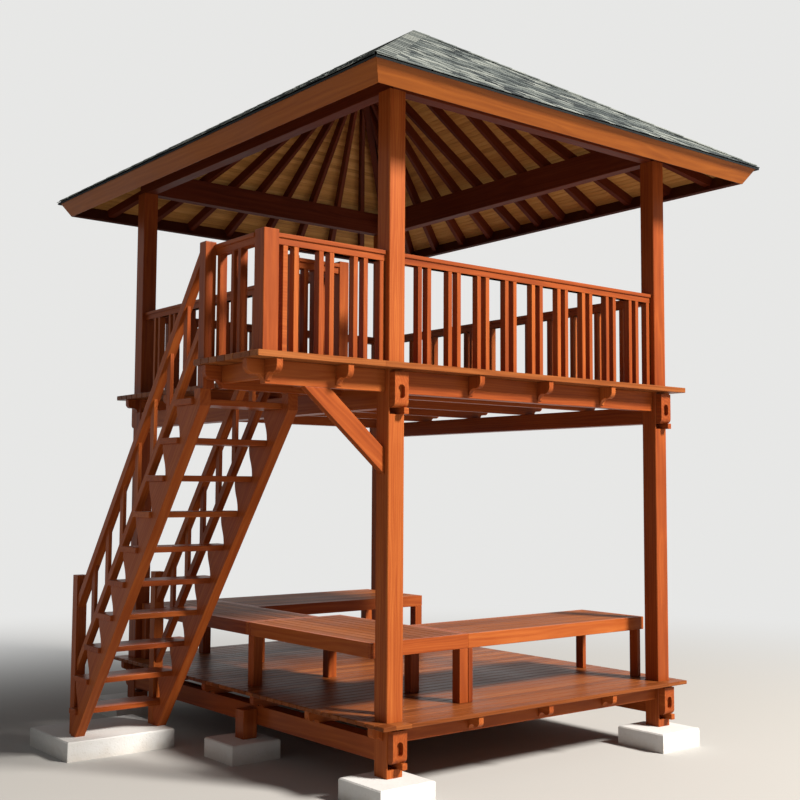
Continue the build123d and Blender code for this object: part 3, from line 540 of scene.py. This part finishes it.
def boardSolids(origin, along, across, length, width, thick, easing, skewStart=0.0, skewEnd=0.0, ends=True):
    # an eight-sided profile carried along each board's line. Each end may be skewed across the
    # board: the end's place = skew x the distance from the board's middle line.
    count = len(origin)
    length, width, thick = (np.broadcast_to(value, count).astype(float) for value in (length, width, thick))
    skewStart, skewEnd = (np.broadcast_to(value, count).astype(float) for value in (skewStart, skewEnd))
    along, across = (np.broadcast_to(value, (count, 3)).astype(float) for value in (along, across))
    up = np.cross(along, across)
    signs = np.array([(1, -1, 1, 0), (1, -1, 0, 1), (1, 1, 0, 1), (1, 1, 1, 0),
                      (-1, 1, 1, 0), (-1, 1, 0, 1), (-1, -1, 0, 1), (-1, -1, 1, 0)], float)
    # rings along the board: at its far end or not, their shift along it and how far they draw in
    steps = [(0, 0.0, 0.0), (1, 0.0, 0.0)]
    if ends:   # small end faces stand past the full profile
        steps = [(0, -easing, easing), (0, easing, 0.0), (1, -easing, 0.0), (1, easing, easing)]
    rings = []
    for far, shift, inset in steps:
        x = signs[:, 0] * ((width / 2 - inset)[:, None] - easing * signs[:, 2])
        y = signs[:, 1] * ((thick / 2 - inset)[:, None] - easing * signs[:, 3])
        skew = (skewEnd if far else skewStart)[:, None]
        rings.append(np.stack([far * length[:, None] + skew * x + shift, x, y], axis=-1))
    local = np.stack(rings, axis=1).reshape(count, -1, 3)
    points = (origin[:, None, :] + local[..., 0:1] * along[:, None, :]
              + local[..., 1:2] * across[:, None, :] + local[..., 2:3] * up[:, None, :])
    ringCount = len(steps)
    step = np.arange(8)
    following = (step + 1) % 8
    quads = np.concatenate([np.stack([step, following, following + 8, step + 8], axis=1) + 8 * ring
                            for ring in range(ringCount - 1)])
    first = np.arange(count)[:, None, None] * 8 * ringCount
    quads = (quads[None] + first).reshape(-1, 4)
    caps = np.stack([step[::-1], step + 8 * (ringCount - 1)])
    caps = (caps[None] + first).reshape(-1, 8)
    slide = np.stack([random.uniform(0.0, pithSettings["slide"], count),
                      random.uniform(*pithSettings["boardSide"], count),
                      random.uniform(*pithSettings["boardDepth"], count)], axis=1)
    places = (local + slide[:, None, :]).reshape(-1, 3)
    tones = np.repeat(random.uniform(0.0, 1.0, count), 8 * ringCount)
    return points.reshape(-1, 3), quads, caps, places, tones


def boardMesh(name, batches):
    # joins batches of boards into one mesh
    mesh = bpy.data.meshes.new(name)
    points, faces, places, tones = [], [], [], []
    start = 0
    for batch in batches:
        points.append(batch[0])
        for group in batch[1:-2]:
            faces += (group + start).tolist()
        places.append(batch[-2])
        tones.append(batch[-1])
        start += len(batch[0])
    mesh.from_pydata(np.concatenate(points).tolist(), [], faces)
    mesh.validate()
    writeAttributes(mesh, np.concatenate(places), np.concatenate(tones))
    return mesh


shortestBoard = 0.020
narrowestStrip = 0.012


def boardRows(low, high, pitch, gap, holes, alongX=True):
    # rows of boards that fill a rectangle in plan, cut round square holes: each row is as wide as
    # the rectangle over the nearest whole number of pitches, and a gap parts the rows
    if not alongX:
        low, high = low[::-1], high[::-1]
        holes = [hole[:, ::-1] for hole in holes]
    rows = max(1, round((high[1] - low[1]) / pitch))
    lines = np.linspace(low[1], high[1], rows + 1)
    cells = []
    for near, far in zip(lines[:-1], lines[1:]):
        start = low[0]
        inWay = sorted(tuple(map(tuple, hole)) for hole in holes if hole[0][1] < far and hole[1][1] > near)
        for (holeX0, holeY0), (holeX1, holeY1) in inWay:
            if holeX0 - start > shortestBoard:
                cells.append((start, near, holeX0, far))
            if holeY0 - near > narrowestStrip:
                cells.append((holeX0, near, holeX1, holeY0))
            if far - holeY1 > narrowestStrip:
                cells.append((holeX0, holeY1, holeX1, far))
            start = holeX1
        if high[0] - start > shortestBoard:
            cells.append((start, near, high[0], far))
    cells = np.array(cells)
    cells[:, 1] += np.where(cells[:, 1] > low[1] + 1e-6, gap / 2, 0.0)
    cells[:, 3] -= np.where(cells[:, 3] < high[1] - 1e-6, gap / 2, 0.0)
    return cells


def flatBoards(cells, bottom, top, easing, alongX=True):
    # boards that lie level, one for each cell in plan
    middle = (cells[:, 1] + cells[:, 3]) / 2
    level = np.full(len(cells), (bottom + top) / 2)
    if alongX:
        origin = np.stack([cells[:, 0], middle, level], axis=1)
        axes = ((1.0, 0.0, 0.0), (0.0, 1.0, 0.0))
    else:
        origin = np.stack([middle, cells[:, 2], level], axis=1)
        axes = ((0.0, -1.0, 0.0), (1.0, 0.0, 0.0))
    return boardSolids(origin, *axes, cells[:, 2] - cells[:, 0], cells[:, 3] - cells[:, 1], top - bottom,
                       easing)


# each deck's boards, and the upright timbers that they are cut round
deckSettings = {
    "lowerDeckBoards": {"node": "lower_deck", "round": "corner_posts", "gap": 0.007},
    "upperDeckBoards": {"node": "upper_deck", "round": "corner_posts", "gap": 0.007},
    "landingBoards": {"node": "landing_deck", "round": "stair_newels", "gap": 0.003},
}
deckPitch = 0.111
deckEasing = 0.003
for name, deck in deckSettings.items():
    low, high = (np.array(corner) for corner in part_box(deck["node"]))
    holes = [np.stack([foot[:2], head[:2]]) for foot, head in zip(*solidBoxes(deck["round"]))
             if head[2] > high[2]]
    cells = boardRows(low, high, deckPitch, deck["gap"], holes)
    mesh = boardMesh(name, [flatBoards(cells, low[2], high[2], deckEasing)])
    finishPiece(name, mesh, "deckTimber", [deck["node"]])

# Daybeds: boards let in flush between the aprons, whose faces run up to the top
benchSettings = {"frame": 0.040, "pitch": 0.098, "gap": 0.006, "easing": 0.0025}


def benchPieces():
    # the frame timbers and the boards of every unit, each as large as its top in the frame
    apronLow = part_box("bench_aprons_across")[0]
    edge = benchSettings["frame"]
    frames, boards = [], []
    for low, high in zip(*solidBoxes("bench_tops")):
        across = np.array([(low[0], low[1], high[0], low[1] + edge),
                           (low[0], high[1] - edge, high[0], high[1])])
        lengthways = np.array([(low[1] + edge, low[0], high[1] - edge, low[0] + edge),
                               (low[1] + edge, high[0] - edge, high[1] - edge, high[0])])
        frames.append(flatBoards(across, apronLow.z, high[2], benchSettings["easing"]))
        frames.append(flatBoards(lengthways, apronLow.z, high[2], benchSettings["easing"], False))
        alongX = high[0] - low[0] > high[1] - low[1]
        inner = np.array([low[:2], high[:2]]) + [[edge], [-edge]]
        cells = boardRows(inner[0], inner[1], benchSettings["pitch"], benchSettings["gap"], [], alongX)
        boards.append(flatBoards(cells, low[2], high[2], benchSettings["easing"], alongX))
    return frames, boards


frames, boards = benchPieces()
finishPiece("benchFrames", boardMesh("benchFrames", frames), "varnishedTimber",
            ["bench_aprons_across", "bench_aprons_along"])
finishPiece("benchBoards", boardMesh("benchBoards", boards), "benchTimber", ["bench_tops"])
print("decks and bench tops boarded")


# Roof

roofSettings = {
    "eaveLevel": 5.190, "ridgeLevel": 6.605, "ridgeInset": 1.600,
    "ceilingThick": 0.020, "ceilingPitch": 0.048, "ceilingStart": 0.030, "ceilingGap": 0.001,
    "ceilingEasing": 0.0035,
    "drip": 0.022, "deckingThick": 0.014, "deckingEasing": 0.001,
    "exposure": 0.142, "overlap": 0.055, "lap": 0.0055, "shingleSeat": 0.002, "shingleGap": 0.003,
    "shingleThick": (0.0040, 0.0076), "shingleWidth": (0.05, 0.17), "shingleEasing": 0.0008,
    "leastCourse": 0.020,
    "capWing": 0.112, "capExposure": 0.145, "capLength": 0.205, "capThick": 0.005, "capSeat": 0.012,
}


def roofSlopes():
    # each slope's frame: middle of the eave, along it, up the slope, out of it, half width, length
    # and the hip's slant = the run of the slope beside it over this one's length
    low, high = (np.array(corner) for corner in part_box("fascia_sides"))
    rise = roofSettings["ridgeLevel"] - roofSettings["eaveLevel"]
    sideRun = (high[0] - low[0]) / 2
    endRun = roofSettings["ridgeInset"] - low[1]
    middle = (low + high) / 2
    slopes = []
    for inward, run, other, half in (((1, 0), sideRun, endRun, (high[1] - low[1]) / 2),
                                     ((-1, 0), sideRun, endRun, (high[1] - low[1]) / 2),
                                     ((0, 1), endRun, sideRun, (high[0] - low[0]) / 2),
                                     ((0, -1), endRun, sideRun, (high[0] - low[0]) / 2)):
        inward = np.array(inward, float)
        length = math.hypot(rise, run)
        eave = middle[:2] - inward * ((high - low)[:2] / 2)
        slopes.append({
            "eave": np.array([*eave, roofSettings["eaveLevel"]]),
            "along": np.array([inward[1], -inward[0], 0.0]),
            "up": np.array([*(inward * run / length), rise / length]),
            "half": half, "length": length, "slant": other / length,
        })
        slopes[-1]["out"] = np.cross(slopes[-1]["along"], slopes[-1]["up"])
    return slopes


slopes = roofSlopes()


def slopeStrips(slope, starts, ends, low, high, easing):
    # strips across the whole slope between two heights above it, mitred at the hips
    middle = (starts + ends) / 2
    half = slope["half"] - slope["slant"] * middle
    origin = (slope["eave"] + middle[:, None] * slope["up"] + (low + high) / 2 * slope["out"]
              - half[:, None] * slope["along"])
    return boardSolids(origin, slope["along"], slope["up"], 2 * half, ends - starts, high - low, easing,
                       slope["slant"], -slope["slant"], ends=False)


batches = []
for slope in slopes:
    rows = round((slope["length"] - roofSettings["ceilingStart"]) / roofSettings["ceilingPitch"])
    lines = np.linspace(roofSettings["ceilingStart"], slope["length"], rows + 1)
    batches.append(slopeStrips(slope, lines[:-1], lines[1:] - roofSettings["ceilingGap"],
                               -roofSettings["ceilingThick"], 0.0, roofSettings["ceilingEasing"]))
finishPiece("ceilingBoards", boardMesh("ceilingBoards", batches), "ceilingTimber",
            ["ceiling_left", "ceiling_right", "ceiling_ends"])


def shingleCourses(slope):
    # courses of shingles up one slope; each lies on the one below, so it tilts by its thickness
    tilt = roofSettings["lap"] / roofSettings["exposure"]
    rise = math.hypot(1.0, tilt)
    across = (slope["up"] - tilt * slope["out"]) / rise
    reach = roofSettings["exposure"] + roofSettings["overlap"]
    origins, lengths, heights, thicknesses, starts, ends = [], [], [], [], [], []
    course = -roofSettings["drip"]
    while course < slope["length"] - roofSettings["leastCourse"]:
        top = min(course + reach, slope["length"])
        middle = (course + top) / 2
        edge = slope["half"] - slope["slant"] * middle
        count = max(1, round(2 * edge / np.mean(roofSettings["shingleWidth"])))
        widths = random.uniform(*roofSettings["shingleWidth"], count)
        cuts = -edge + np.concatenate([[0.0], np.cumsum(widths)]) * 2 * edge / widths.sum()
        thick = random.uniform(*roofSettings["shingleThick"], count)
        height = (roofSettings["deckingThick"] + roofSettings["shingleSeat"] + thick / 2
                  + tilt * (top - course) / 2)
        origins.append(slope["eave"] + middle * slope["up"] + height[:, None] * slope["out"]
                       + cuts[:-1, None] * slope["along"])
        lengths.append(np.diff(cuts) - roofSettings["shingleGap"])
        heights.append(np.full(count, top - course))
        thicknesses.append(thick)
        starts.append(np.where(np.arange(count) == 0, slope["slant"], 0.0))
        ends.append(np.where(np.arange(count) == count - 1, -slope["slant"], 0.0))
        course += roofSettings["exposure"]
    return boardSolids(np.concatenate(origins), slope["along"], across, np.concatenate(lengths),
                       np.concatenate(heights), np.concatenate(thicknesses), roofSettings["shingleEasing"],
                       np.concatenate(starts), np.concatenate(ends), ends=False)


batches = []
for slope in slopes:
    decking = slopeStrips(slope, np.array([-roofSettings["drip"]]), np.array([slope["length"]]),
                          0.0, roofSettings["deckingThick"], roofSettings["deckingEasing"])
    batches.append((*decking[:-1], decking[-1] * 0.0))   # painted shadow: the decking's edge takes the darkest tone to stand for the shade line above the fascia
    batches.append(shingleCourses(slope))
finishPiece("roofShingles", boardMesh("roofShingles", batches), "shingles",
            ["roof_cover_left", "roof_cover_right", "roof_cover_ends"])


def foldedCaps(start, end, first, second):
    # cap shingles folded over a hip or the ridge, each lapping the one below it:
    # crest = both normals' sum over 1 + their product, so it lies equally high over both slopes
    down = (end - start) / np.linalg.norm(end - start)
    count = round(np.linalg.norm(end - start) / roofSettings["capExposure"])
    stations = np.linspace(0.0, np.linalg.norm(end - start), count + 1)[1:]
    wings = []
    for slope in (first, second):
        wing = np.cross(down, slope["out"])
        middle = slope["eave"] + slope["up"] * slope["length"] / 2
        wings.append(wing if np.dot(middle - start, wing) > 0 else -wing)
    normals = (first["out"], second["out"])
    crest = (normals[0] + normals[1]) / (1 + np.dot(*normals))
    base = roofSettings["deckingThick"] + roofSettings["capSeat"]
    points = []
    for back, lift in ((roofSettings["capLength"], 0.0), (0.0, roofSettings["capThick"])):
        for thick in (0.0, roofSettings["capThick"]):
            height = base + lift + thick
            for offset in (wings[0] * roofSettings["capWing"] + normals[0] * height, crest * height,
                           wings[1] * roofSettings["capWing"] + normals[1] * height):
                points.append(start + (stations - back).clip(0.0)[:, None] * down + offset)
    points = np.stack(points, axis=1).reshape(-1, 3)
    for slope in (first, second):
        fall = np.dot(down, slope["up"])
        if fall < -1e-6:   # whatever would pass the drip slides back up the hip
            past = ((points - slope["eave"]) @ slope["up"] + roofSettings["drip"]).clip(max=0.0)
            points -= (past / fall)[:, None] * down
    # vertices 0-2 upper end below, 3-5 upper end above, 6-8 butt below, 9-11 butt above
    quads = np.array([(3, 4, 10, 9), (4, 5, 11, 10), (1, 0, 6, 7), (2, 1, 7, 8), (0, 3, 9, 6), (5, 2, 8, 11),
                      (6, 9, 10, 7), (7, 10, 11, 8), (1, 4, 3, 0), (2, 5, 4, 1)])
    quads = (quads[None] + np.arange(count)[:, None, None] * 12).reshape(-1, 4)
    tones = np.repeat(random.uniform(0.0, 1.0, count), 12)
    return points, quads, points.copy(), tones


# the ridge ends: over the middle of the roof in X, set in from the front and back posts in Y
left, right, front, back = slopes
postLow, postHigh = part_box("corner_posts")
ridge = [np.array([(left["eave"][0] + right["eave"][0]) / 2, y, roofSettings["ridgeLevel"]])
         for y in (roofSettings["ridgeInset"], postLow.y + postHigh.y - roofSettings["ridgeInset"])]
batches = []
for top, end, side in ((ridge[0], front, left), (ridge[0], front, right), (ridge[1], back, left),
                       (ridge[1], back, right)):
    corner = np.array([side["eave"][0], end["eave"][1], roofSettings["eaveLevel"]])
    batches.append(foldedCaps(top, corner, end, side))
batches.append(foldedCaps(ridge[0], ridge[1], left, right))
mesh = boardMesh("capShingles", batches)
copy = bmesh.new()
copy.from_mesh(mesh)
bmesh.ops.recalc_face_normals(copy, faces=copy.faces)
copy.to_mesh(mesh)
copy.free()
finishPiece("capShingles", mesh, "capShingles", ["hip_and_ridge_caps"])
print("roof covered")


# Pads

for nodeName in ("post_pads", "stair_pad"):
    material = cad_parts[nodeName].data.materials
    material.clear()
    material.append(finishes["paintedConcrete"])


# Camera, light and floor

studioSettings = {
    "cameraPlace": (-5.3656, -6.8070, 2.2555), "yaw": 38.722, "pitch": 4.331, "roll": 0.298, "lens": 52.36,
    "sensor": 36.0,
    "floorColour": (0.47, 0.465, 0.455), "floorReach": 60.0, "fade": (4.5, 14.0),
    "backColour": (0.80, 0.80, 0.79), "worldColour": (1.0, 0.985, 0.96), "worldStrength": 0.13,
    "aim": (1.5, 2.0, 3.0),
    "keyPlace": (11.4, -21.4, 21.0), "keySize": 6.3, "keyPower": 22000.0, "keyColour": (1.0, 0.945, 0.865),
    "fillPlace": (-10.0, -2.0, 7.0), "fillSize": 8.0, "fillPower": 15.0, "fillColour": (1.0, 0.97, 0.94),
}


def placeCamera():
    # the camera fitted to the photograph: it looks along the yaw and pitch, rolled about that line
    yaw, pitch, roll = (math.radians(studioSettings[label]) for label in ("yaw", "pitch", "roll"))
    ahead = np.array([math.sin(yaw) * math.cos(pitch), math.cos(yaw) * math.cos(pitch), math.sin(pitch)])
    side = np.array([math.cos(yaw), -math.sin(yaw), 0.0])
    above = np.cross(side, ahead)
    sideRolled = math.cos(roll) * side + math.sin(roll) * above
    aboveRolled = math.cos(roll) * above - math.sin(roll) * side
    data = bpy.data.cameras.new("photoView")
    data.lens = studioSettings["lens"]
    data.sensor_width = studioSettings["sensor"]
    camera = bpy.data.objects.new("photoView", data)
    columns = np.stack([sideRolled, aboveRolled, -ahead], axis=1)
    turned = Matrix(columns.tolist()).to_4x4()
    camera.matrix_world = Matrix.Translation(studioSettings["cameraPlace"]) @ turned
    bpy.context.scene.collection.objects.link(camera)
    bpy.context.scene.camera = camera


def areaLamp(name, label):
    # a round lamp panned about the vertical and tipped up from straight down until it meets the aim
    data = bpy.data.lights.new(name, "AREA")
    data.shape = "DISK"
    data.size = studioSettings[label + "Size"]
    data.energy = studioSettings[label + "Power"]
    data.color = studioSettings[label + "Colour"]
    place = studioSettings[label + "Place"]
    lamp = bpy.data.objects.new(name, data)
    direction = np.array(studioSettings["aim"]) - np.array(place)
    pan = math.atan2(direction[1], direction[0]) - math.pi / 2
    tip = math.atan2(math.hypot(direction[0], direction[1]), -direction[2])
    lamp.location = place
    lamp.rotation_euler = (tip, 0.0, pan)
    bpy.context.scene.collection.objects.link(lamp)


def seenDirectly(tree):
    # 1 for the rays that show the backdrop, 0 for the rays that gather its light
    path = tree.add("LightPath")
    seen = tree.math("ADD", path.outputs["Is Camera Ray"], path.outputs["Is Glossy Ray"], clamp=True)
    return tree.math("ADD", seen, path.outputs["Is Transmission Ray"], clamp=True)


def placeFloor():
    # one wide plane that fades into the backdrop's colour with the distance from its middle
    mesh = bpy.data.meshes.new("studioFloor")
    reach = studioSettings["floorReach"]
    mesh.from_pydata([(-reach, -reach, 0.0), (reach, -reach, 0.0), (reach, reach, 0.0), (-reach, reach, 0.0)],
                     [], [(0, 1, 2, 3)])
    material, tree, shader = newMaterial("studioFloor")
    shader.inputs["Base Color"].default_value = (*studioSettings["floorColour"], 1.0)
    shader.inputs["Roughness"].default_value = 0.9
    shader.inputs["Specular IOR Level"].default_value = 0.1
    distance = tree.add("VectorMath", operation="LENGTH")
    tree.join(tree.add("TexCoord").outputs["Object"], distance.inputs[0])
    far = tree.add("MapRange", interpolation_type="SMOOTHSTEP")
    tree.join(distance.outputs["Value"], far.inputs["Value"])
    far.inputs["From Min"].default_value, far.inputs["From Max"].default_value = studioSettings["fade"]
    backdrop = tree.add("Emission")
    backdrop.inputs["Color"].default_value = (*studioSettings["backColour"], 1.0)
    mixed = tree.add("MixShader")
    tree.join(tree.math("MULTIPLY", far.outputs["Result"], seenDirectly(tree)), mixed.inputs[0])
    tree.join(shader.outputs[0], mixed.inputs[1])
    tree.join(backdrop.outputs[0], mixed.inputs[2])
    tree.join(mixed.outputs[0], tree.nodes["Material Output"].inputs["Surface"])
    mesh.materials.append(material)
    floor = bpy.data.objects.new("studioFloor", mesh)
    bpy.context.scene.collection.objects.link(floor)


def placeWorld():
    # a soft pale sky light; the camera and mirror rays see the plain backdrop colour
    world = bpy.data.worlds.new("studio")
    world.use_nodes = True
    bpy.context.scene.world = world
    tree = Tree(world.node_tree)
    world.node_tree.nodes.clear()
    light = tree.add("Background")
    light.inputs["Color"].default_value = (*studioSettings["worldColour"], 1.0)
    light.inputs["Strength"].default_value = studioSettings["worldStrength"]
    backdrop = tree.add("Background")
    backdrop.inputs["Color"].default_value = (*studioSettings["backColour"], 1.0)
    backdrop.inputs["Strength"].default_value = 1.0
    mixed = tree.add("MixShader")
    tree.join(seenDirectly(tree), mixed.inputs[0])
    tree.join(light.outputs[0], mixed.inputs[1])
    tree.join(backdrop.outputs[0], mixed.inputs[2])
    tree.join(mixed.outputs[0], tree.add("OutputWorld").inputs[0])


placeCamera()
placeFloor()
placeWorld()
areaLamp("keyLamp", "key")
areaLamp("fillLamp", "fill")
bpy.context.scene.view_settings.view_transform = "Standard"
print("studio set")
